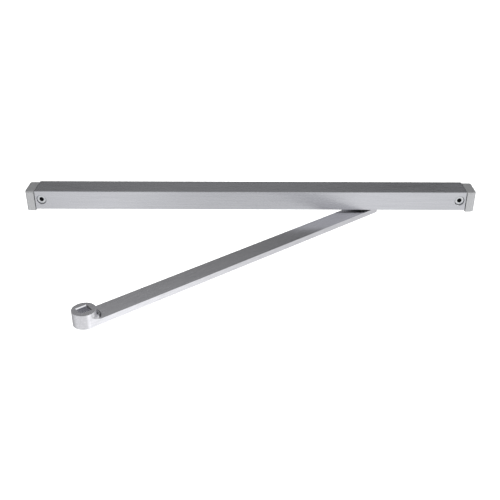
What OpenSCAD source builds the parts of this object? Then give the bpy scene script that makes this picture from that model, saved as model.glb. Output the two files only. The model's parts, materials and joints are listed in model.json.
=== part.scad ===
// Guide rail and slide arm of a slide-rail door closer, in millimetres.
// The origin is the centre of the rail's back face, which lies on the lintel.
// +X runs along the rail, +Y points into the lintel and +Z points up.

/* [Rail] */
// Overall length over both end caps
rail_length = 440; // [400:5:600]
// Depth of the rail, from the lintel to its front face
rail_depth = 26; // [24:0.5:28]
// Height of the rail
rail_height = 19; // [18:0.5:20]
// Thickness of the rail's walls and of the lips beside the slot
rail_wall = 2.2; // [2:0.1:2.4]
// Width of the slot along the rail's underside
slot_width = 10; // [10:0.5:11]

/* [End caps] */
// Length of each end cap along the rail
cap_length = 9; // [8:0.5:10]
// How far a cap stops short of the lintel
cap_setback = 2; // [1:0.5:4]
// How far a cap's rim stands proud of the rail's front and underside
cap_proud = 1.4; // [0.8:0.1:1.6]
// Thickness of a cap's walls
cap_wall = 1.6; // [1.2:0.1:2]

/* [Fixing screws] */
// Distance of each fixing screw from the rail's overall end
screw_inset = 15; // [15:0.5:30]
// Diameter of a fixing screw's thread
thread_d = 5; // [4:0.5:5]
// Diameter of a fixing screw's head
head_d = 8.5; // [7:0.5:8.5]
// Length of thread that stands out behind the rail
stud_length = 12; // [8:1:30]

/* [Slide arm] */
// Distance from the spindle socket to the pivot pin
arm_length = 315; // [250:5:400]
// Width of the arm's bar
bar_width = 18.5; // [16:0.5:19]
// Thickness of the arm's bar
bar_thickness = 5; // [4:0.5:6]
// Gap between the bar and the rail's underside
bar_gap = 1.5; // [1.5:0.1:3]
// Outer diameter of the hub
hub_d = 19.2; // [18.4:0.2:24]
// How far the hub stands above the bar
hub_rise = 7.5; // [4:0.5:8]
// Width across the flats of the spindle socket
socket_width = 8; // [7:0.5:9]

/* [Rest position] */
// Distance of the pivot pin from the middle of the rail
slider_x = 117; // [-100:1:117]
// Angle between the arm and the rail
arm_angle = 39.6; // [20:0.05:90]

/* [Hidden] */
$fn = 64;

// Shared clearances
slip = 0.1;           // between pieces that are pushed together and stay put
glide = 0.3;          // between the slider and the channel
run = 0.05;           // radial, between the pivot pin and its bush
seam = 0.3;           // between a cap's rim and the rail's end
over = 1;             // how far a cutter runs past the face that it opens

// Rail
rail_y = -rail_depth / 2;                       // centre line of the channel and its slot
body_length = rail_length - 2 * cap_length;     // the extrusion without its caps
cavity_y = rail_depth - 2 * rail_wall;
cavity_z = rail_height - 2 * rail_wall;
rail_bottom = -rail_height / 2;
rail_edge_r = 0.6;                              // rounding of the rail's long edges

// Fixing screws
screw_x = rail_length / 2 - screw_inset;
screw_z = 0.5;
shank_d = thread_d - 0.5;                       // plain shank of a rolled thread
shank_hole_d = thread_d + 0.5;
head_hole_d = head_d + 0.5;
head_height = 5;
head_sink = 1.4;                                // head's top below the rail's front face
head_seat_y = -rail_depth + head_sink + head_height;
hex_size = 4;                                   // across the flats
hex_depth = 2.8;

// End caps, end blocks and buffers
cap_r = 2;                                      // rounding of a cap's upright outer edges
cap_taper = 0.7;                                // a cap is lower by this at its outer end
block_outer = body_length / 2 - 0.2;
block_inner = screw_x - 11;
block_y = cavity_y - slip;
block_z = cavity_z - 2 * slip;
tongue_t = 1.4;                                 // a cap's two spring tongues
tongue_w = 11;
tongue_z = cavity_z / 2 - 0.3 - tongue_t / 2;
tongue_end = screw_x - 3;
groove_depth = tongue_t + 0.4;
catch_depth = 0.35;                             // ridge that keeps a tongue in its groove
catch_length = 1;
buffer_r = 5;
buffer_length = 7;
buffer_stem_r = 2;
buffer_stem = 4;

// Slider, along X from the pivot pin
carrier_half = 15;
shoe_length = 7;
spigot = 5;                                     // tongue and groove between shoe and carrier
carrier_y = cavity_y - 3;
carrier_bottom = rail_bottom + rail_wall + 0.8;
carrier_top = 3;
spigot_y = 8;
spigot_z = 4;
spigot_mid = (carrier_bottom + carrier_top) / 2;
keel_depth = 1.8;                               // shoe's rib down into the slot

// Pivot, as radii and heights
pin_r = 4;
bush_outer_r = 5.5;
shoulder_r = 4.6;
washer_r = 7;
washer_t = 0.8;
ring_r = 6;
ring_t = 0.9;
ring_slit = 4;
groove_r = 3.2;
bush_bottom = carrier_bottom - 0.2;
bush_top = carrier_top + 0.2;
washer_z = bush_top + 0.15;
ring_z = washer_z + washer_t + 0.1;
pin_top = ring_z + ring_t + 0.7;
thrust_r = 8;
thrust_t = 1;
rivet_t = 1.5;                                  // countersunk rivet head, at 45 degrees

// Arm, along its own X from the pivot pin towards the hub
bar_top = rail_bottom - bar_gap;
bar_bottom = bar_top - bar_thickness;
tip_r = bar_width / 2 + 0.8;
hub_top = bar_top + hub_rise;
hub_foot_r = 4;                                 // fillet where the hub rises from the bar
hub_edge = 0.7;
socket_edge = 1;

// A rectangle with round corners, about the origin
module rounded_rect(w, h, r)
{
    square([w - 2 * r, h], center = true);
    square([w, h - 2 * r], center = true);
    for (x = [-1, 1], y = [-1, 1])
        translate([x * (w / 2 - r), y * (h / 2 - r)]) circle(r);
}

// Extrudes a section in Y and Z along X, centred
module along_x(length)
{
    rotate([90, 0, 90]) linear_extrude(length, center = true) children();
}

// A box from one corner to the opposite one
module block(low, high)
{
    translate(low) cube(high - low);
}

// A cylinder along +Y from a point
module rod_y(x, y, z, r, length)
{
    translate([x, y, z]) rotate([-90, 0, 0]) cylinder(r = r, h = length);
}

// Draws its children at the right end, or mirrored at the left end
module at_end(side)
{
    if (side == "left") mirror([1, 0, 0]) children();
    else children();
}

// Places the slider's and the arm's pieces at the pivot pin
module at_pivot()
{
    translate([slider_x, rail_y, 0]) children();
}

module rail_channel()
{
    color("silver") difference() {
        translate([0, rail_y, 0]) along_x(body_length) difference() {
            rounded_rect(rail_depth, rail_height, rail_edge_r);
            square([cavity_y, cavity_z], center = true);
            translate([0, rail_bottom]) square([slot_width, 3 * rail_wall], center = true);
        }
        for (x = [-screw_x, screw_x]) {
            rod_y(x, -rail_depth - over, screw_z, head_hole_d / 2, rail_wall + 2 * over);
            rod_y(x, -rail_wall - over, screw_z, shank_hole_d / 2, rail_wall + 2 * over);
        }
    }
}

// A cap's outline from above: the front draws back a little, and the outer corners are round
module cap_outline(inner, outer)
{
    back = -cap_setback;
    rim = -rail_depth - cap_proud;
    front = rim + cap_taper;
    polygon([[inner, rim], [outer - cap_r, front], [outer - cap_r, back], [inner, back]]);
    translate([outer - cap_r - over, front + cap_r]) square([over + cap_r, back - front - 2 * cap_r]);
    for (y = [front + cap_r, back - cap_r])
        translate([outer - cap_r, y]) circle(cap_r);
}

// A cap's outline from the front: level on top, and its underside rises to the outer end
module cap_face(inner, outer)
{
    rim = -rail_height / 2 - cap_proud;
    polygon([[inner, rim], [outer, rim + cap_taper], [outer, rail_height / 2],
             [inner, rail_height / 2]]);
}

// A cap is a shell that is open towards the rail, with two spring tongues
module end_cap(side)
{
    inner = body_length / 2 + seam;
    outer = rail_length / 2;
    lip = cap_wall + cap_taper - cap_proud;     // inner faces, from the rail's own
    at_end(side) color("silver") {
        difference() {
            intersection() {
                translate([0, 0, -rail_height]) linear_extrude(2 * rail_height)
                    cap_outline(inner, outer);
                rotate([90, 0, 0]) linear_extrude(2 * rail_depth) cap_face(inner, outer);
            }
            block([inner - over, -rail_depth + lip, rail_bottom + lip],
                  [outer - cap_wall, -cap_setback - cap_wall, rail_height / 2 - cap_wall]);
        }
        for (up = [0, 1]) mirror([0, 0, up]) {
            block([tongue_end, rail_y - tongue_w / 2, tongue_z - tongue_t / 2],
                  [outer - cap_wall / 2, rail_y + tongue_w / 2, tongue_z + tongue_t / 2]);
            block([tongue_end, rail_y - tongue_w / 2, tongue_z - tongue_t / 2 - catch_depth],
                  [tongue_end + catch_length, rail_y + tongue_w / 2, tongue_z]);
        }
    }
}

// A block fills the channel's end: grooves for the cap's tongues, a seat for the screw
module end_block(side)
{
    groove_z = block_z / 2 - groove_depth;
    groove_y = tongue_w / 2 + slip;
    at_end(side) color("darkgray") difference() {
        translate([(block_inner + block_outer) / 2, -rail_wall - block_y / 2, 0])
            cube([block_outer - block_inner, block_y, block_z], center = true);
        rod_y(screw_x, -rail_depth, screw_z, head_hole_d / 2, head_seat_y + rail_depth);
        rod_y(screw_x, -rail_depth, screw_z, shank_hole_d / 2, rail_depth);
        for (up = [0, 1]) mirror([0, 0, up]) {
            block([tongue_end - slip, rail_y - groove_y, groove_z],
                  [block_outer + over, rail_y + groove_y, block_z]);
            block([tongue_end - slip, rail_y - groove_y, groove_z - catch_depth],
                  [tongue_end + catch_length + slip, rail_y + groove_y, block_z]);
        }
        translate([block_inner - over, rail_y, 0]) rotate([0, 90, 0])
            cylinder(r = buffer_stem_r, h = over + buffer_stem + slip);
    }
}

module end_buffer(side)
{
    at_end(side) color("dimgray") translate([block_inner, rail_y, 0]) {
        rotate([0, -90, 0]) cylinder(r = buffer_r, h = buffer_length);
        rotate([0, 90, 0]) cylinder(r = buffer_stem_r, h = buffer_stem);
    }
}

module fixing_screw(side)
{
    at_end(side) color("gainsboro") difference() {
        union() {
            rod_y(screw_x, head_seat_y - head_height, screw_z, head_d / 2, head_height);
            rod_y(screw_x, head_seat_y, screw_z, shank_d / 2, -head_seat_y);
            rod_y(screw_x, 0, screw_z, thread_d / 2, stud_length);
        }
        translate([screw_x, head_seat_y - head_height - over, screw_z]) rotate([-90, 0, 0])
            cylinder(d = hex_size / cos(30), h = hex_depth + over, $fn = 6);
    }
}

module slide_carrier()
{
    color("slategray") at_pivot() difference() {
        block([-carrier_half, -carrier_y / 2, carrier_bottom],
              [carrier_half, carrier_y / 2, carrier_top]);
        translate([0, 0, carrier_bottom - over]) cylinder(r = bush_outer_r, h = rail_height);
        for (x = [-1, 1])
            translate([x * carrier_half, 0, spigot_mid])
                cube([2 * spigot + 2 * slip, spigot_y + 2 * slip, spigot_z + 2 * slip],
                     center = true);
    }
}

// A shoe closes one end of the carrier and runs on the channel's lips
module glide_shoe(direction)
{
    foot = rail_bottom + rail_wall + glide;
    color("whitesmoke") at_pivot() mirror([direction == "left" ? 1 : 0, 0, 0]) {
        block([carrier_half, glide - cavity_y / 2, foot],
              [carrier_half + shoe_length, cavity_y / 2 - glide, cavity_z / 2 - glide]);
        block([carrier_half - spigot, -spigot_y / 2, spigot_mid - spigot_z / 2],
              [carrier_half + over, spigot_y / 2, spigot_mid + spigot_z / 2]);
        block([carrier_half, glide - slot_width / 2, foot - keel_depth],
              [carrier_half + shoe_length, slot_width / 2 - glide, foot + over]);
    }
}

module slide_bush()
{
    color("peru") at_pivot() translate([0, 0, bush_bottom]) difference() {
        cylinder(r = bush_outer_r, h = bush_top - bush_bottom);
        translate([0, 0, -over]) cylinder(r = pin_r + run, h = rail_height);
    }
}

// A forging: a bar with a round end, and a hub with a square socket through it
module slide_arm()
{
    color("silver") at_pivot() rotate(180 + arm_angle) difference() {
        union() {
            block([0, -bar_width / 2, bar_bottom], [arm_length, bar_width / 2, bar_top]);
            translate([0, 0, bar_bottom]) intersection() {
                cylinder(r = tip_r, h = bar_thickness);
                block([-tip_r, -bar_width / 2, 0], [over, bar_width / 2, bar_thickness]);
            }
            translate([arm_length, 0, 0]) {
                hub();
                hub_foot();
            }
        }
        translate([0, 0, bar_bottom - over]) cylinder(r = pin_r, h = bar_thickness + 2 * over);
        translate([0, 0, bar_bottom - over])
            cylinder(r1 = pin_r + rivet_t + over, r2 = pin_r, h = rivet_t + over);
        translate([arm_length, 0, 0]) spindle_socket();
    }
}

// The square hole through the hub, with a chamfer of 45 degrees round its mouth
module spindle_socket()
{
    flat = socket_width / 2;
    mouth = flat + socket_edge + over;
    height = hub_top - bar_bottom + 2 * over;
    translate([0, 0, (hub_top + bar_bottom) / 2])
        cube([socket_width, socket_width, height], center = true);
    translate([0, 0, hub_top]) intersection_for (turn = [0, 90])
        rotate(turn) rotate([90, 0, 0]) linear_extrude(2 * mouth, center = true)
            polygon([[-flat, -socket_edge], [flat, -socket_edge], [mouth, over], [-mouth, over]]);
}

// The hub is turned about the spindle's axis, with its top edge chamfered
module hub()
{
    r = hub_d / 2;
    rotate_extrude() polygon([[0, bar_bottom], [r, bar_bottom], [r, hub_top - hub_edge],
                              [r - hub_edge, hub_top], [0, hub_top]]);
}

// The fillet between hub and bar, cut off at the bar's sides
module hub_foot()
{
    r = hub_d / 2;
    intersection() {
        translate([0, 0, bar_top]) rotate_extrude() difference() {
            translate([r - over, -over]) square([hub_foot_r + over, hub_foot_r + over]);
            translate([r + hub_foot_r, hub_foot_r]) circle(hub_foot_r);
        }
        block([-r - hub_foot_r, -bar_width / 2, bar_bottom], [0, bar_width / 2, hub_top]);
    }
}

module pivot_pin()
{
    color("gainsboro") at_pivot() difference() {
        union() {
            translate([0, 0, bar_bottom]) cylinder(r = pin_r, h = pin_top - bar_bottom);
            translate([0, 0, bar_bottom]) cylinder(r1 = pin_r + rivet_t, r2 = pin_r, h = rivet_t);
            translate([0, 0, bar_top + thrust_t])
                cylinder(r = shoulder_r, h = bush_bottom - glide - bar_top - thrust_t);
        }
        translate([0, 0, ring_z]) difference() {
            cylinder(r = pin_r + over, h = ring_t);
            cylinder(r = groove_r, h = ring_t);
        }
    }
}

// A flat ring about the pivot, standing on a height
module washer(z, inner, outer, thickness)
{
    at_pivot() translate([0, 0, z]) difference() {
        cylinder(r = outer, h = thickness);
        translate([0, 0, -over]) cylinder(r = inner, h = thickness + 2 * over);
    }
}

module thrust_washer()
{
    color("whitesmoke") washer(bar_top, pin_r + slip, thrust_r, thrust_t);
}

module pivot_washer()
{
    color("gainsboro") washer(washer_z, pin_r + slip, washer_r, washer_t);
}

module retaining_ring()
{
    color("dimgray") difference() {
        washer(ring_z, groove_r, ring_r, ring_t);
        at_pivot() block([0, -ring_slit / 2, ring_z - over], [ring_r + over, ring_slit / 2, pin_top]);
    }
}

rail_channel();
end_cap("left");  // end_cap_left
end_cap("right");  // end_cap_right
end_block("left");  // end_block_left
end_block("right");  // end_block_right
end_buffer("left");  // end_buffer_left
end_buffer("right");  // end_buffer_right
fixing_screw("left");  // fixing_screw_left
fixing_screw("right");  // fixing_screw_right
slide_carrier();
glide_shoe("left");  // glide_shoe_left
glide_shoe("right");  // glide_shoe_right
slide_bush();
slide_arm();
pivot_pin();
thrust_washer();
pivot_washer();
retaining_ring();
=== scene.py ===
"""Visible shapes, looks, light and camera for the guide rail and slide arm of a slide-rail door closer.

Shapes are made in millimetres, on the frame's own axes, and each is turned into metres as it is finished.
"""

import json
import math

import bmesh
import bpy
from mathutils import Matrix, Vector


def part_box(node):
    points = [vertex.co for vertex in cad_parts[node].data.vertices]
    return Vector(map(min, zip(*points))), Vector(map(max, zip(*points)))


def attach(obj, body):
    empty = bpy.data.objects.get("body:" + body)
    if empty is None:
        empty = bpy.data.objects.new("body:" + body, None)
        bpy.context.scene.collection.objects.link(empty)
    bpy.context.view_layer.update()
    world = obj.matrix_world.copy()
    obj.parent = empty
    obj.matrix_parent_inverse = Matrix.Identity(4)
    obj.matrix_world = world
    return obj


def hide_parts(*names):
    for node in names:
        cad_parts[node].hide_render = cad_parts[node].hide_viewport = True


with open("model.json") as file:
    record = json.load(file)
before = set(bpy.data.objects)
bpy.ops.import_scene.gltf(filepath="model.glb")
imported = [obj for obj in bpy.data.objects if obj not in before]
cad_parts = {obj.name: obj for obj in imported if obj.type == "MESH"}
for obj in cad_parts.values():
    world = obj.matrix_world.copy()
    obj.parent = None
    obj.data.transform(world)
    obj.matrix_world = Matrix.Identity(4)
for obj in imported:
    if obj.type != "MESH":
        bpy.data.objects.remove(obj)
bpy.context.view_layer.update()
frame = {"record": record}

METRE = 1000.0                      # millimetres in one metre
SIDES = ("left", "right")
BODY_OF = {node: body for body, nodes in frame["record"]["behaviour"]["bodies"].items() for node in nodes}


# ---------------------------------------------------------------- places, from the frame

def span(node):
    """A CAD node's lowest and highest corner, in millimetres."""
    low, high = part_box(node)
    return low * METRE, high * METRE


def mount(name):
    """Where a mount of the record is, in millimetres."""
    found = [m for m in frame["record"]["mounts"] if m["name"] == name]
    return Vector(found[0]["pos_m"]) * METRE


rail_low, rail_high = span("rail_channel")
pin_low, pin_high = span("pivot_pin")
arm_low, arm_high = span("slide_arm")
pivot = (pin_low + pin_high) / 2                    # the pin's axis
hub_axis = mount("spindle_socket")
arm_length = (hub_axis.xy - pivot.xy).length
arm_angle = math.atan2(hub_axis.y - pivot.y, hub_axis.x - pivot.x)
screw_low, screw_high = span("fixing_screw_right")
screw_x = (screw_low.x + screw_high.x) / 2
screw_z = mount("fixing_studs").z
screw_top = screw_low.y

# Sizes that no corner of a node gives
WALL = 2.2                          # rail
SLOT = 10.0
EDGE = 0.6
HEAD_HOLE = 4.5                     # radii of the rail's holes
SHANK_HOLE = 2.75
CAP_WALL = 1.6                      # end cap
CAP_TAPER = 0.7
CAP_CORNER = 3.2
TONGUE = (11.0, 1.4)                # width and thickness of a cap's spring tongues
HEAD_HEIGHT = 5.0                   # a screw's head, from its face to its seat in the block
BAR_WIDTH = 18.5                    # arm
BAR_THICKNESS = 5.0
HUB_RADIUS = 9.6
TIP_RADIUS = 10.05
FOOT_RADIUS = 4.0
SOCKET = 8.0
HUB_BLEND = 12.0                    # over this length the bar widens to the hub
MOUTH = 0.75                        # chamfer of the socket's mouth
PIN_RADIUS = 4.0                    # pivot
BUSH_RADIUS = 5.5


# ---------------------------------------------------------------- shapes

PLACE = {
    "X": lambda u, v, level: (level, u, v),
    "Y": lambda u, v, level: (u, level, v),
    "Z": lambda u, v, level: (u, v, level),
}


def rounded(corners, steps=5):
    """The outline through corners (u, v, radius), with an arc of its own radius at each corner."""
    points = []
    for i, (u, v, radius) in enumerate(corners):
        here = Vector((u, v))
        if radius == 0:
            points.append(here)
            continue
        before = (Vector(corners[i - 1][:2]) - here).normalized()
        after = (Vector(corners[(i + 1) % len(corners)][:2]) - here).normalized()
        half = before.angle(after) / 2
        centre = here + (before + after).normalized() * radius / math.sin(half)
        start = here + before * radius / math.tan(half) - centre
        end = here + after * radius / math.tan(half) - centre
        turn = start.angle(end)
        for step in range(steps + 1):
            share = step / steps
            arm = start * math.sin((1 - share) * turn) + end * math.sin(share * turn)
            points.append(centre + arm / math.sin(turn))
    return points


def arc(centre, radius, start, end, steps):
    """Points on an arc, between two angles in degrees."""
    angles = [math.radians(start + (end - start) * i / steps) for i in range(steps + 1)]
    return [Vector((centre[0] + radius * math.cos(a), centre[1] + radius * math.sin(a))) for a in angles]


def box_outline(low, high, radius=0):
    """A rectangle's outline from one corner to the opposite one."""
    (left, bottom), (right, top) = low[:2], high[:2]
    return [(left, bottom, radius), (right, bottom, radius), (right, top, radius), (left, top, radius)]


def solid(mesh):
    """An object made of a finished bmesh, with its faces looking outwards."""
    bmesh.ops.recalc_face_normals(mesh, faces=mesh.faces)
    data = bpy.data.meshes.new("shape")
    mesh.to_mesh(data)
    mesh.free()
    made = bpy.data.objects.new("shape", data)
    bpy.context.scene.collection.objects.link(made)
    return made


def prism(outline, low, high, axis="Z"):
    """A solid with this outline, between two levels along an axis."""
    mesh = bmesh.new()
    bottom, top = ([mesh.verts.new(PLACE[axis](u, v, level)) for u, v in outline] for level in (low, high))
    mesh.faces.new(bottom)
    mesh.faces.new(top)
    for i in range(len(outline)):
        mesh.faces.new((bottom[i - 1], bottom[i], top[i], top[i - 1]))
    return solid(mesh)


def block(low, high, radius=0):
    """A box between two corners, with its upright edges rounded."""
    return prism(rounded(box_outline(low, high, radius)), low[2], high[2])


def skin(mesh, lower, upper, steps):
    """Faces between two rings of points, either of which may be a single point."""
    for i in range(steps):
        face = [lower[i % len(lower)], lower[(i + 1) % len(lower)],
                upper[(i + 1) % len(upper)], upper[i % len(upper)]]
        corners = list(dict.fromkeys(face))
        if len(corners) > 2:
            mesh.faces.new(corners)


def turned(profile, centre=(0, 0), axis="Z", steps=64):
    """A solid of revolution from points (radius, level). One that doesn't end on the axis is a ring."""
    mesh = bmesh.new()
    rings = []
    for radius, level in profile:
        turns = steps if radius > 0 else 1
        angles = [2 * math.pi * i / steps for i in range(turns)]
        rings.append([mesh.verts.new(PLACE[axis](centre[0] + radius * math.cos(a),
                                                 centre[1] + radius * math.sin(a), level)) for a in angles])
    pairs = list(zip(rings, rings[1:]))
    if profile[0][0] > 0:
        pairs.append((rings[-1], rings[0]))
    for lower, upper in pairs:
        skin(mesh, lower, upper, steps)
    return solid(mesh)


def combine(base, other, operation="DIFFERENCE"):
    """Cuts, joins or trims one solid with another, which is used up."""
    modifier = base.modifiers.new("combine", "BOOLEAN")
    modifier.operation = operation
    modifier.object = other
    modifier.solver = "EXACT"
    made = bpy.data.meshes.new_from_object(base.evaluated_get(bpy.context.evaluated_depsgraph_get()))
    base.modifiers.clear()
    base.data = made
    bpy.data.objects.remove(other)


def soften(base, width, where=lambda point: True, steps=3, sharp=30):
    """Rounds the sharp edges whose middles pass a test. Angles are in degrees."""
    nearly_flat = 0.4
    mesh = bmesh.new()
    mesh.from_mesh(base.data)
    bmesh.ops.remove_doubles(mesh, verts=mesh.verts, dist=0.002)
    bmesh.ops.dissolve_limit(mesh, angle_limit=math.radians(nearly_flat), verts=mesh.verts,
                             edges=mesh.edges)
    chosen = [e for e in mesh.edges if len(e.link_faces) == 2 and e.calc_face_angle() > math.radians(sharp)
              and where((e.verts[0].co + e.verts[1].co) / 2)]
    bmesh.ops.bevel(mesh, geom=chosen, offset=width, offset_type="OFFSET", segments=steps, profile=0.5,
                    affect="EDGES", clamp_overlap=True)
    mesh.to_mesh(base.data)
    mesh.free()


def mirror(shape, side):
    """Turns a right-hand shape into the left-hand one."""
    if side == "left":
        shape.data.transform(Matrix.Diagonal((-1, 1, 1, 1)))
        shape.data.flip_normals()


# ---------------------------------------------------------------- materials

def add(tree, kind, inputs, **settings):
    """A new node with these inputs, each a value or the socket that feeds it."""
    made = tree.nodes.new("ShaderNode" + kind)
    for name, value in settings.items():
        setattr(made, name, value)
    for name, value in inputs.items():
        if isinstance(value, bpy.types.NodeSocket):
            tree.links.new(value, made.inputs[name])
        else:
            made.inputs[name].default_value = value
    return made


def calc(tree, operation, *values):
    """The result of a Math node."""
    return add(tree, "Math", dict(enumerate(values)), operation=operation).outputs[0]


def grain(tree, size, turn=0.0, detail=3.0):
    """Noise from 0 to 1 whose grains are size millimetres along three axes, turned about Z."""
    place = add(tree, "TexCoord", {}).outputs["Object"]
    axes = add(tree, "Mapping",
               {"Vector": place, "Rotation": (0, 0, turn), "Scale": [s / METRE for s in size]},
               vector_type="TEXTURE")
    return add(tree, "TexNoise", {"Vector": axes.outputs[0], "Scale": 1.0, "Detail": detail}).outputs["Fac"]


def ramp(tree, value, low, high, start=0.3, end=0.7):
    """A value between start and end, spread from low to high."""
    return add(tree, "MapRange", {"Value": value, "From Min": start, "From Max": end,
                                  "To Min": low, "To Max": high}).outputs["Result"]


def edges(tree, radius):
    """1 along edges and corners and 0 on flats, for wear."""
    soft = add(tree, "Bevel", {"Radius": radius / METRE}, samples=4).outputs[0]
    true = add(tree, "NewGeometry", {}).outputs["Normal"]
    match = add(tree, "VectorMath", {0: soft, 1: true}, operation="DOT_PRODUCT").outputs["Value"]
    return ramp(tree, match, 1.0, 0.0, 0.9, 0.995)


def blend(tree, share, first, second):
    """A colour between two, by a share from 0 to 1."""
    made = add(tree, "Mix", {"Factor": share}, data_type="RGBA")
    for slot, colour in (("A", first), ("B", second)):
        socket = [i for i in made.inputs if i.name == slot and i.type == "RGBA"][0]
        if isinstance(colour, bpy.types.NodeSocket):
            tree.links.new(colour, socket)
        else:
            socket.default_value = (*colour, 1)
    return [o for o in made.outputs if o.type == "RGBA"][0]


def pocket(tree, radius, depth):
    """1 inside the fixing screws' heads, below a depth, where the socket is darkened as painted shade, and 0
    elsewhere.
    """
    place = add(tree, "TexCoord", {}).outputs["Object"]
    x, y, z = add(tree, "SeparateXYZ", {"Vector": place}).outputs
    across = calc(tree, "SUBTRACT", calc(tree, "ABSOLUTE", x), screw_x / METRE)
    up = calc(tree, "SUBTRACT", z, screw_z / METRE)
    flat = add(tree, "CombineXYZ", {0: across, 1: up}).outputs[0]
    off = add(tree, "VectorMath", {0: flat}, operation="LENGTH").outputs["Value"]
    near = ramp(tree, off, 1.0, 0.0, (radius - 0.15) / METRE, (radius + 0.1) / METRE)
    deep = ramp(tree, y, 0.0, 1.0, depth / METRE, (depth + 0.5) / METRE)
    head = ramp(tree, y, 1.0, 0.0, (depth + HEAD_HEIGHT) / METRE, (depth + HEAD_HEIGHT + 0.5) / METRE)
    return calc(tree, "MULTIPLY", near, calc(tree, "MULTIPLY", deep, head))


def surface(name, dark, light, worn, size, rough, bump, fine, turn=0.0, painted_shade=None, brushed=False, **values):
    """A material with a grain in its colour and roughness, fine relief, and edges that are worn.

    size and fine are the grain's and the relief's sizes along three axes, and bump is the relief's
    height, all in millimetres. rough is a range. A radius and depth, when given, mark a screw's
    socket, which is darkened nearly to black as painted shade.
    """
    wear = 0.25                     # width of the worn edges
    material = bpy.data.materials.new(name)
    material.use_nodes = True
    tree = material.node_tree
    shader = tree.nodes["Principled BSDF"]
    for socket, value in values.items():
        shader.inputs[socket.replace("_", " ")].default_value = value
    coarse = grain(tree, size, turn)
    edge = edges(tree, wear)
    colour = blend(tree, ramp(tree, coarse, 0.0, 1.0), dark, light)
    colour = blend(tree, edge, colour, worn)
    if painted_shade:
        # Painted shade: the screw's socket is darkened nearly to black.
        colour = blend(tree, pocket(tree, *painted_shade), colour, (0.012, 0.012, 0.013))
    if brushed:
        tangent = add(tree, "Tangent", {}, direction_type="RADIAL", axis="X")
        tree.links.new(tangent.outputs[0], shader.inputs["Tangent"])
    tree.links.new(colour, shader.inputs["Base Color"])
    tree.links.new(ramp(tree, grain(tree, [s / 3 for s in size], turn), *rough), shader.inputs["Roughness"])
    height = grain(tree, fine, turn, 2.0)
    relief = add(tree, "Bump", {"Strength": 1.0, "Distance": bump / METRE, "Height": height})
    tree.links.new(relief.outputs[0], shader.inputs["Normal"])
    return material


LOOKS = {
    "anodised_aluminium": surface(
        "satin_anodised_aluminium", (0.50, 0.505, 0.535), (0.56, 0.565, 0.595), (0.62, 0.62, 0.64),
        (60, 0.9, 0.9), (0.22, 0.30), 0.006, (12, 0.12, 0.12), brushed=True, Metallic=1.0, Anisotropic=0.85),
    "cap_silver": surface(
        "silver_painted_casting", (0.44, 0.445, 0.455), (0.52, 0.525, 0.535), (0.59, 0.59, 0.60),
        (1.6, 1.6, 1.6), (0.36, 0.46), 0.012, (0.35, 0.35, 0.35), Metallic=0.9),
    "satin_steel": surface(
        "satin_plated_forging", (0.58, 0.58, 0.61), (0.66, 0.66, 0.69), (0.78, 0.78, 0.80),
        (9, 1.3, 1.3), (0.18, 0.25), 0.010, (1.5, 0.3, 0.3), turn=arm_angle, Metallic=1.0),
    "die_cast_zinc": surface(
        "die_cast_zinc", (0.26, 0.27, 0.28), (0.36, 0.37, 0.385), (0.5, 0.5, 0.51),
        (2.5, 2.5, 2.5), (0.42, 0.58), 0.02, (0.5, 0.5, 0.5), Metallic=1.0),
    "black_rubber": surface(
        "black_rubber", (0.012, 0.012, 0.012), (0.026, 0.026, 0.026), (0.05, 0.05, 0.05),
        (1.2, 1.2, 1.2), (0.62, 0.8), 0.02, (0.25, 0.25, 0.25), Metallic=0.0),
    # The screws' sockets get painted shade, darkened nearly to black.
    "zinc_plated_steel": surface(
        "zinc_plated_steel", (0.50, 0.52, 0.55), (0.66, 0.67, 0.68), (0.76, 0.76, 0.76),
        (1.5, 1.5, 1.5), (0.2, 0.32), 0.004, (0.2, 0.2, 0.2), painted_shade=(2.3, screw_top + 0.1), Metallic=1.0),
    "white_nylon": surface(
        "white_nylon", (0.68, 0.67, 0.62), (0.78, 0.77, 0.73), (0.84, 0.84, 0.82),
        (3, 3, 3), (0.38, 0.5), 0.01, (0.4, 0.4, 0.4), Metallic=0.0, Subsurface_Weight=0.1),
    "bronze": surface(
        "oiled_bronze", (0.42, 0.25, 0.09), (0.55, 0.34, 0.14), (0.7, 0.48, 0.24),
        (1.2, 1.2, 0.3), (0.25, 0.4), 0.006, (0.4, 0.4, 0.08), Metallic=1.0),
    "spring_steel": surface(
        "oiled_spring_steel", (0.035, 0.036, 0.04), (0.07, 0.07, 0.078), (0.3, 0.3, 0.31),
        (1.5, 1.5, 1.5), (0.3, 0.42), 0.004, (0.2, 0.2, 0.2), Metallic=1.0),
}


def finish_piece(shape, name, node, slot, smooth=32):
    """Turns a shape into a piece that stands for a CAD node and moves with that node's body."""
    shape.name = shape.data.name = name
    shape.data.transform(Matrix.Scale(1 / METRE, 4))
    shape.data.materials.clear()
    shape.data.materials.append(LOOKS[slot])
    shape.data.polygons.foreach_set("use_smooth", [True] * len(shape.data.polygons))
    shape.data.set_sharp_from_angle(angle=math.radians(smooth))
    shape.modifiers.new("even_shading", "WEIGHTED_NORMAL").keep_sharp = True
    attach(shape, BODY_OF[node])
    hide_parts(node)
    return shape


# ---------------------------------------------------------------- rail, caps and their fixings

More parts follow.
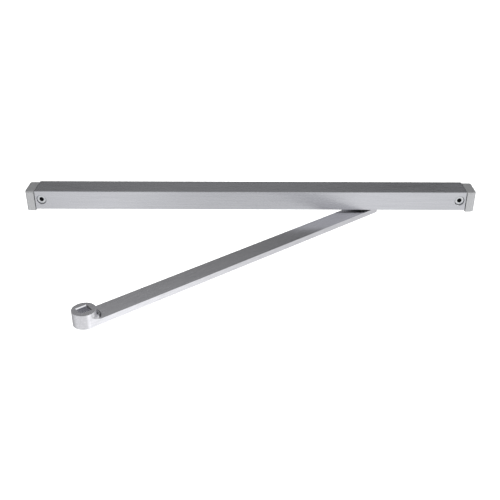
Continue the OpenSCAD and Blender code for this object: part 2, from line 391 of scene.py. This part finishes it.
def rail_extrusion():
    """The channel: a C section with a slot along its underside, and two fixing holes."""
    front, back, low, high = rail_low.y, rail_high.y, rail_low.z, rail_high.z
    middle = (front + back) / 2
    lip_front, lip_back = middle - SLOT / 2, middle + SLOT / 2
    lip, inner = 0.35, 0.5
    section = rounded([
        (lip_front, low, lip), (front, low, EDGE), (front, high, EDGE), (back, high, EDGE),
        (back, low, EDGE), (lip_back, low, lip), (lip_back, low + WALL, lip),
        (back - WALL, low + WALL, inner), (back - WALL, high - WALL, inner),
        (front + WALL, high - WALL, inner), (front + WALL, low + WALL, inner),
        (lip_front, low + WALL, lip)])
    shape = prism(section, rail_low.x, rail_high.x, "X")
    soften(shape, 0.2, where=lambda p: abs(p.x) > rail_high.x - 0.01, steps=2, sharp=60)
    chamfer, through = 0.5, WALL + 0.6
    for side in SIDES:
        x = sum(c.x for c in span("fixing_screw_" + side)) / 2
        for radius, face, way in ((HEAD_HOLE, front, 1), (SHANK_HOLE, back, -1)):
            profile = [(0, face - way), (radius + chamfer + 1, face - way), (radius, face + way * chamfer),
                       (radius, face + way * through), (0, face + way * through)]
            combine(shape, turned(profile, (x, screw_z), "Y", 72))
    return finish_piece(shape, "rail_extrusion", "rail_channel", "anodised_aluminium")


def end_cap(side):
    """A die-cast cap: a shell with soft outer edges, and two spring tongues with catches."""
    low, high = span("end_cap_" + side)
    corner, front_edge, outer_edge, rim_edge = 1.2, 2.4, 1.1, 0.25
    inner = rail_high.x + 0.3
    outer = max(abs(low.x), abs(high.x))
    plan = rounded([(inner, low.y, 0), (outer, low.y + CAP_TAPER, CAP_CORNER), (outer, high.y, CAP_CORNER),
                    (inner, high.y, 0)], 8)
    face = [Vector(p) for p in ((inner, low.z), (outer, low.z + CAP_TAPER), (outer, high.z),
                                (inner, high.z))]
    shape = prism(plan, low.z - 1, high.z + 1)
    combine(shape, prism(face, low.y - 1, high.y + 1, "Y"), "INTERSECT")
    profile = box_outline((low.y, low.z), (high.y, high.z), corner)[:3] + [(low.y, high.z, front_edge)]
    combine(shape, prism(rounded(profile, 8), inner - 1, outer + 1, "X"), "INTERSECT")
    soften(shape, outer_edge, where=lambda p: p.x > inner + 0.05, steps=6, sharp=40)
    soften(shape, rim_edge, where=lambda p: p.x < inner + 0.05, steps=2, sharp=40)
    lip = CAP_WALL + CAP_TAPER
    combine(shape, prism(rounded(box_outline((low.y + lip, low.z + lip),
                                             (high.y - CAP_WALL, high.z - CAP_WALL), 0.8)),
                         inner - 1, outer - CAP_WALL, "X"))
    tongue_start = min(abs(low.x), abs(high.x))
    middle = (rail_low.y + rail_high.y) / 2
    width, thickness = TONGUE
    reach = rail_high.z - WALL - 0.3
    for up in (-1, 1):
        ends = sorted((up * reach, up * (reach - thickness)))
        tongue = block((tongue_start, middle - width / 2, ends[0]),
                       (outer - CAP_WALL / 2, middle + width / 2, ends[1]))
        combine(shape, tongue, "UNION")
        catch = sorted((up * (reach - 0.5), up * (reach - thickness - 0.35)))
        outline = rounded([(tongue_start, catch[0], 0.2), (tongue_start + 1, catch[0], 0.2),
                           (tongue_start + 1, catch[1], 0.2), (tongue_start, catch[1], 0.2)], 3)
        combine(shape, prism(outline, middle - width / 2 + 0.4, middle + width / 2 - 0.4, "Y"), "UNION")
    mirror(shape, side)
    return finish_piece(shape, side + "_cap_casting", "end_cap_" + side, "cap_silver")


def end_block(side):
    """The casting in the channel's end: a screw seat, grooves for the cap and the buffer's hole."""
    low, high = span("end_block_" + side)
    near, far = min(abs(low.x), abs(high.x)), max(abs(low.x), abs(high.x))
    middle = (rail_low.y + rail_high.y) / 2
    shape = block((near, low.y, low.z), (far, high.y, high.z))
    soften(shape, 0.45)
    seat = screw_top + HEAD_HEIGHT
    bore = [(0, low.y - 2), (HEAD_HOLE + 0.3, low.y - 2), (HEAD_HOLE + 0.3, low.y), (HEAD_HOLE, low.y + 0.3),
            (HEAD_HOLE, seat), (SHANK_HOLE, seat), (SHANK_HOLE, high.y + 1), (0, high.y + 1)]
    combine(shape, turned(bore, (screw_x, screw_z), "Y", 48))
    width = TONGUE[0] + 0.2
    tongue_start = min(abs(c.x) for c in span("end_cap_" + side)) - 0.1
    depth = TONGUE[1] + 0.4
    for up in (-1, 1):
        face = up * high.z
        for end, deep in ((far + 1, depth), (tongue_start + 1.2, depth + 0.35)):
            levels = sorted((face + up, face - up * deep))
            combine(shape, block((tongue_start, middle - width / 2, levels[0]),
                                 (end, middle + width / 2, levels[1])))
    stem_hole = [(0, near - 1), (2.0, near - 1), (2.0, near + 4.1), (0, near + 5.2)]
    combine(shape, turned(stem_hole, (middle, 0), "X", 32))
    mirror(shape, side)
    return finish_piece(shape, side + "_block_casting", "end_block_" + side, "die_cast_zinc")


def end_buffer(side):
    """A rubber stop: a domed pad with a groove round it, on a stem."""
    low, high = span("end_buffer_" + side)
    sign = -1 if side == "left" else 1
    face = min(abs(low.x), abs(high.x))
    tip = max(abs(low.x), abs(high.x))
    radius = (high.z - low.z) / 2
    foot, neck, stem = tip - 4, radius - 0.7, 2
    profile = rounded([(0, face, 0), (radius, face, 1.3), (radius, foot - 3, 0.3),
                       (neck, foot - 2.6, 0.2), (neck, foot - 1.8, 0.2), (radius, foot - 1.4, 0.3),
                       (radius, foot, 0.4), (stem, foot, 0.2), (stem, tip, 0.6), (0, tip, 0)], 4)
    axis = ((low.y + high.y) / 2, (low.z + high.z) / 2)
    shape = turned([(r, sign * x) for r, x in profile], axis, "X", 48)
    return finish_piece(shape, side + "_rubber_stop", "end_buffer_" + side, "black_rubber")


def fixing_screw(side):
    """A socket-head screw: a knurled head with a hexagon socket, a plain shank and a rolled thread."""
    low, high = span("fixing_screw_" + side)
    x = (low.x + high.x) / 2
    radius, top, tip = (high.x - low.x) / 2, low.y, high.y
    seat, shank, point = top + HEAD_HEIGHT, 2.25, 1.5
    pitch, crest = 0.8, 2.5
    root = crest - 0.6134 * pitch                   # the depth of an ISO thread
    teeth, knurl, around = 36, 0.16, 144
    thread_start = rail_high.y + 0.2

    mesh = bmesh.new()
    angles = [2 * math.pi * i / around for i in range(around)]

    def ring(y, radii):
        return [mesh.verts.new((x + r * math.cos(a), y, screw_z + r * math.sin(a)))
                for a, r in zip(angles, radii)]

    rows = [(radius - 0.2, top), (radius - 0.06, top + 0.06), (radius, top + 0.2), (radius, seat - 0.45),
            (radius - 0.2, seat), (shank + 0.25, seat), (shank, seat + 0.3), (shank, thread_start)]
    rings = [[mesh.verts.new((x, top, screw_z))]]
    for r, y in rows:
        dent = knurl if r == radius else 0
        rings.append(ring(y, [r - dent * (0.5 - 0.5 * math.cos(teeth * a)) for a in angles]))
    for i in range(1, int((tip - 0.4 - thread_start) / pitch * 10) + 1):
        y = thread_start + i * pitch / 10
        fade = min(1, (y - thread_start) / pitch, max(0, (tip - y) / pitch))
        phases = [((y - thread_start) / pitch + a / (2 * math.pi)) % 1 for a in angles]
        heights = [max(0, 1 - abs(phase - 0.5) * 2 * 1.12) for phase in phases]
        rings.append(ring(y, [root + (crest - root) * min(1, h * 1.15) * fade for h in heights]))
    rings.append(ring(tip, [point] * around))
    rings.append([mesh.verts.new((x, tip, screw_z))])
    for lower, upper in zip(rings, rings[1:]):
        skin(mesh, lower, upper, around)
    shape = solid(mesh)

    flats, depth = 4.0, 2.8
    hexagon = arc((x, screw_z), flats / 2 / math.cos(math.radians(30)), 0, 300, 5)
    combine(shape, prism(hexagon, top - 1, top + depth, "Y"))
    drill = [(0, top - 1), (2.6 + 1, top - 1), (2.05, top + 0.35), (1.9, top + depth - 0.02),
             (0, top + depth + 0.9)]
    combine(shape, turned(drill, (x, screw_z), "Y", 48))
    return finish_piece(shape, side + "_socket_screw", "fixing_screw_" + side, "zinc_plated_steel", 40)


# ---------------------------------------------------------------- slider and pivot

def slide_carrier():
    """The slider's casting: a bored block with a pocket at each end for a shoe."""
    low, high = span("slide_carrier")
    axis = pivot.xy
    shape = block((low.x, low.y, low.z), (high.x, high.y, high.z), 1.2)
    soften(shape, 0.4)
    bore = [(0, low.z - 1), (BUSH_RADIUS + 1.4, low.z - 1), (BUSH_RADIUS, low.z + 0.4),
            (BUSH_RADIUS, high.z - 0.4), (BUSH_RADIUS + 1.4, high.z + 1), (0, high.z + 1)]
    combine(shape, turned(bore, axis, "Z", 64))
    mid = (low.z + high.z) / 2
    for end, way in ((low.x, 1), (high.x, -1)):
        xs = sorted((end - way, end + way * 5.1))
        shoe_hole = box_outline((axis.y - 4.1, mid - 2.1), (axis.y + 4.1, mid + 2.1), 0.3)
        combine(shape, prism(rounded(shoe_hole, 3), xs[0], xs[1], "X"))
        hollow = sorted((end + way * 2.2, end + way * 6.6))
        for across in (-1, 1):
            ys = sorted((axis.y + across * 4.4, axis.y + across * 7.2))
            combine(shape, block((hollow[0], ys[0], high.z - 1.2), (hollow[1], ys[1], high.z + 1), 0.7))
    return finish_piece(shape, "carrier_casting", "slide_carrier", "die_cast_zinc")


def glide_shoe(side):
    """A nylon shoe: it closes one end of the carrier and runs on the channel's lips."""
    low, high = span("glide_shoe_" + side)
    way = -1 if side == "left" else 1
    carrier_low, carrier_high = span("slide_carrier")
    face = carrier_low.x if way < 0 else carrier_high.x
    outer = low.x if way < 0 else high.x
    spigot = high.x if way < 0 else low.x
    foot = rail_low.z + WALL + 0.3
    xs = sorted((face, outer))
    shape = block((xs[0], low.y, foot), (xs[1], high.y, high.z), 0.8)
    keel = block((xs[0], pivot.y - 4.7, low.z), (xs[1], pivot.y + 4.7, foot + 1), 1.0)
    combine(shape, keel, "UNION")
    soften(shape, 0.45)
    mid = (carrier_low.z + carrier_high.z) / 2
    ends = sorted((spigot, face + way))
    tenon = rounded(box_outline((pivot.y - 4, mid - 2), (pivot.y + 4, mid + 2), 0.4), 3)
    combine(shape, prism(tenon, ends[0], ends[1], "X"), "UNION")
    core = sorted((outer + way, outer - way * 2.2))
    for across in (-1, 1):
        ys = sorted((pivot.y + across * 1.2, pivot.y + across * 7.6))
        window = rounded(box_outline((ys[0], foot + 3), (ys[1], high.z - 2), 0.6), 4)
        combine(shape, prism(window, core[0], core[1], "X"))
    return finish_piece(shape, side + "_nylon_shoe", "glide_shoe_" + side, "white_nylon")


def slide_bush():
    """A plain bearing, chamfered at both ends, with an oil groove half-way up its bore."""
    low, high = span("slide_bush")
    inner, outer, edge = PIN_RADIUS + 0.05, BUSH_RADIUS, 0.35
    mid = (low.z + high.z) / 2
    profile = rounded([(inner, low.z + edge, 0), (inner + edge, low.z, 0), (outer - edge, low.z, 0.1),
                       (outer, low.z + edge, 0.1), (outer, high.z - edge, 0.1), (outer - edge, high.z, 0.1),
                       (inner + edge, high.z, 0), (inner, high.z - edge, 0), (inner, mid + 0.6, 0),
                       (inner + 0.35, mid + 0.3, 0), (inner + 0.35, mid - 0.3, 0), (inner, mid - 0.6, 0)], 3)
    shape = turned(profile, pivot.xy, "Z", 72)
    return finish_piece(shape, "bearing_bush", "slide_bush", "bronze")


def pivot_pin():
    """A shouldered pin: riveted into the arm, with a groove for its ring at the top."""
    thrust_high = span("thrust_washer")[1]
    bush_low = span("slide_bush")[0]
    ring_low, ring_high = span("retaining_ring")
    head = (pin_high.x - pin_low.x) / 2
    low, high = pin_low.z, pin_high.z
    shoulder, groove, under = 4.6, 3.2, bush_low.z - 0.3
    profile = rounded([(0, low, 0), (head - 0.15, low, 0.1), (head - 0.1, low + 0.15, 0.05),
                       (PIN_RADIUS, low + head - PIN_RADIUS, 0.2), (PIN_RADIUS, thrust_high.z, 0),
                       (shoulder, thrust_high.z, 0.15), (shoulder, under, 0.15), (PIN_RADIUS, under, 0.1),
                       (PIN_RADIUS, ring_low.z, 0.08), (groove, ring_low.z, 0.08),
                       (groove, ring_high.z, 0.08), (PIN_RADIUS, ring_high.z, 0.08),
                       (PIN_RADIUS, high - 0.3, 0.05), (PIN_RADIUS - 0.3, high, 0.1),
                       (1.0, high, 0.1), (0, high - 0.6, 0)], 3)
    shape = turned(profile, pivot.xy, "Z", 72)
    return finish_piece(shape, "shouldered_pin", "pivot_pin", "zinc_plated_steel")


def washer(name, node, slot, edge):
    """A flat ring round the pin, with its edges rounded."""
    low, high = span(node)
    inner, outer = PIN_RADIUS + 0.1, (high.x - low.x) / 2
    profile = rounded(box_outline((inner, low.z), (outer, high.z), edge), 4)
    return finish_piece(turned(profile, pivot.xy, "Z", 96), name, node, slot)


def retaining_ring():
    """An E-shaped ring: three prongs grip the pin's groove, with hollows between them.

    Angles are in degrees from the ring's open side, so the middle prong is at 180.
    """
    low, high = span("retaining_ring")
    groove, hollow, outer, slit = 3.2, 4.5, (high.y - low.y) / 2, 2.0
    prong, slope = 14, 10                               # an outer prong, and the slope beside it
    half_prong, middle_slope = 18, 8                    # half the middle prong, and its slopes
    mouth = math.degrees(math.asin(slit / outer))
    inside = math.degrees(math.asin(slit / groove))
    rim = arc(pivot.xy, outer, mouth, 360 - mouth, 60)
    valley = half_prong + middle_slope
    prongs = arc(pivot.xy, groove, 360 - inside, 360 - inside - prong, 5)
    prongs += arc(pivot.xy, hollow, 360 - inside - prong - slope, 180 + valley, 16)
    prongs += arc(pivot.xy, groove, 180 + half_prong, 180 - half_prong, 9)
    prongs += arc(pivot.xy, hollow, 180 - valley, inside + prong + slope, 16)
    prongs += arc(pivot.xy, groove, inside + prong, inside, 5)
    shape = prism(rim + prongs, low.z, high.z)
    soften(shape, 0.08, steps=2, sharp=60)
    return finish_piece(shape, "e_ring", "retaining_ring", "spring_steel")


# ---------------------------------------------------------------- arm

def slide_arm():
    """A forging: a flat bar with a round tip, which rises in a fillet to a hub with a square socket."""
    low, high = arm_low.z, arm_high.z
    half, top = BAR_WIDTH / 2, low + BAR_THICKNESS
    tip = math.degrees(math.asin(half / TIP_RADIUS))
    bar = arc((0, 0), TIP_RADIUS, 180 - tip, 180 + tip, 24)
    cheek = HUB_RADIUS - 0.03
    bar += [Vector((arm_length - HUB_BLEND, -half)), Vector((arm_length, -cheek)),
            Vector((arm_length, cheek)), Vector((arm_length - HUB_BLEND, half))]
    shape = prism(bar, low, top)
    hub = [(0, low), (HUB_RADIUS, low), (HUB_RADIUS, high), (0, high)]
    combine(shape, turned(hub, (arm_length, 0), "Z", 96), "UNION")
    reach = HUB_RADIUS + FOOT_RADIUS
    fillet = [(HUB_RADIUS - 1, top - 1), (reach, top - 1)]
    fillet += [tuple(p) for p in arc((reach, top + FOOT_RADIUS), FOOT_RADIUS, 270, 180, 12)]
    fillet += [(HUB_RADIUS - 1, top + FOOT_RADIUS)]
    foot = turned(fillet, (arm_length, 0), "Z", 96)
    combine(foot, prism(bar, low, high), "INTERSECT")
    combine(shape, foot, "UNION")
    soften(shape, 0.7, steps=4)
    flat = SOCKET / 2
    mouth = flat + MOUTH + 1
    square = [Vector((arm_length + u * flat, v * flat)) for u, v in ((-1, -1), (1, -1), (1, 1), (-1, 1))]
    combine(shape, prism(square, low - 1, high + 1))
    rise = [(-flat, high - MOUTH), (flat, high - MOUTH), (mouth, high + 1), (-mouth, high + 1)]
    funnel = prism([Vector((arm_length + u, z)) for u, z in rise], -mouth, mouth, "Y")
    combine(funnel, prism([Vector((u, z)) for u, z in rise], arm_length - mouth, arm_length + mouth, "X"),
            "INTERSECT")
    combine(shape, funnel)
    head = (pin_high.x - pin_low.x) / 2 - PIN_RADIUS
    hole = [(0, low - 1), (PIN_RADIUS + head + 1, low - 1), (PIN_RADIUS, low + head), (PIN_RADIUS, top + 1),
            (0, top + 1)]
    combine(shape, turned(hole, (0, 0), "Z", 72))
    shape.data.transform(Matrix.Translation((pivot.x, pivot.y, 0)) @ Matrix.Rotation(arm_angle, 4, "Z"))
    return finish_piece(shape, "arm_forging", "slide_arm", "satin_steel")


rail_extrusion()
for side in SIDES:
    end_cap(side)
    end_block(side)
    end_buffer(side)
    fixing_screw(side)
    glide_shoe(side)
slide_carrier()
slide_bush()
pivot_pin()
washer("nylon_thrust_washer", "thrust_washer", "white_nylon", 0.3)
washer("pin_washer", "pivot_washer", "zinc_plated_steel", 0.15)
retaining_ring()
slide_arm()


# ---------------------------------------------------------------- studio

def floor():
    """A pale floor well below the object, which stands on nothing: it is held by the lintel."""
    size, drop = 12.0, 0.45
    mesh = bpy.data.meshes.new("floor")
    corners = [(x * size, y * size, -drop) for x, y in ((-1, -1), (1, -1), (1, 1), (-1, 1))]
    mesh.from_pydata(corners, [], [(0, 1, 2, 3)])
    made = bpy.data.objects.new("floor", mesh)
    bpy.context.scene.collection.objects.link(made)
    material = bpy.data.materials.new("floor_paper")
    material.use_nodes = True
    shader = material.node_tree.nodes["Principled BSDF"]
    shader.inputs["Base Color"].default_value = (0.9, 0.9, 0.9, 1)
    shader.inputs["Roughness"].default_value = 0.9
    shader.inputs["Specular IOR Level"].default_value = 0
    mesh.materials.append(material)
    made.visible_glossy = made.visible_diffuse = made.visible_shadow = False


def lobe(tree, direction, centre, spread, strength):
    """A soft patch of light in the studio, round a direction."""
    near = add(tree, "VectorMath", {0: direction, 1: Vector(centre).normalized()}, operation="DOT_PRODUCT")
    return add(tree, "MapRange", {"Value": near.outputs["Value"], "From Min": math.cos(math.radians(spread)),
                                  "From Max": 1.0, "To Min": 0.0, "To Max": strength},
               interpolation_type="SMOOTHSTEP").outputs["Result"]


# Patches of light, or of shade where the strength is below 0: direction, spread in degrees, strength
SOFTBOXES = (
    ((0.68, -0.46, -0.58), 23, 0.52),
    ((0.76, 0.16, -0.63), 16, 0.60),
    ((0.58, 0.79, 0.20), 14, 0.90),
    ((-0.05, 0.90, 0.42), 16, 0.04),
    ((0.30, 0.87, 0.38), 18, -0.09),
    ((-0.33, 0.86, 0.38), 10, -0.04),
    ((-0.19, -0.90, -0.40), 6, 0.30),
    ((0.15, -0.90, -0.41), 6, 0.42),
    ((-0.34, -0.86, -0.39), 10, -0.25),
)


def studio():
    """The studio that the metal reflects: pale below and in front, darker above and behind."""
    scene = bpy.context.scene
    scene.view_settings.view_transform = "Standard"
    world = bpy.data.worlds.new("studio")
    scene.world = world
    world.use_nodes = True
    tree = world.node_tree
    direction = add(tree, "TexCoord", {}).outputs["Generated"]
    along, depth, height = add(tree, "SeparateXYZ", {"Vector": direction}).outputs
    # A ceiling that is dark low down and paler above 30 degrees or so, and a pale wall at the far right
    ceiling = ramp(tree, height, 0.085, 0.56, 0.47, 0.585)
    wall = ramp(tree, calc(tree, "MULTIPLY_ADD", height, 0.5, along), 0.0, 0.75, 0.62, 0.88)
    ceiling = calc(tree, "ADD", ceiling, wall)
    # A pale ground that is darker behind, and reaches higher up in front
    ground = ramp(tree, depth, 1.03, 0.50, -0.35, 0.45)
    tilt = calc(tree, "ADD", calc(tree, "MINIMUM", depth, 0.0), height)
    above = ramp(tree, tilt, 0.0, 1.0, -0.14, 0.06)
    level = add(tree, "Mix", {"Factor": above, "A": ground, "B": ceiling}, data_type="FLOAT").outputs[0]
    # A grey upright strip in front, left of the middle
    off_centre = calc(tree, "ABSOLUTE", calc(tree, "ADD", along, 0.03))
    strip = ramp(tree, off_centre, 0.24, 0.0, 0.08, 0.112)
    strip = calc(tree, "MULTIPLY", strip, ramp(tree, height, 0.0, 1.0, -0.52, -0.46))
    strip = calc(tree, "MULTIPLY", strip, ramp(tree, depth, 1.0, 0.0, -0.75, -0.55))
    level = calc(tree, "SUBTRACT", level, strip)
    for centre, spread, strength in SOFTBOXES:
        level = calc(tree, "ADD", level, lobe(tree, direction, centre, spread, strength))
    seen = add(tree, "LightPath", {}).outputs["Is Camera Ray"]
    level = add(tree, "Mix", {"Factor": seen, "A": level, "B": 1.0}, data_type="FLOAT").outputs[0]
    tree.links.new(level, tree.nodes["Background"].inputs["Strength"])
    tree.nodes["Background"].inputs["Color"].default_value = (1, 1, 1, 1)
    lamp = bpy.data.objects.new("softbox", bpy.data.lights.new("softbox", "SUN"))
    lamp.data.energy, lamp.data.angle = 3.6, math.radians(60)
    lamp.rotation_euler = (math.radians(12), math.radians(8), 0)
    lamp.visible_glossy = False
    scene.collection.objects.link(lamp)


def camera():
    """The camera: above and in front of the rail's middle, looking down at the whole object."""
    data = bpy.data.cameras.new("camera")
    data.sensor_width, data.lens = 36.0, 53.25
    made = bpy.data.objects.new("camera", data)
    made.location = (0.00286, -0.68420, 0.30697)            # metres
    made.rotation_euler = [math.radians(a) for a in (61.204, -0.057, 0.294)]
    bpy.context.scene.collection.objects.link(made)
    bpy.context.scene.camera = made


floor()
studio()
camera()
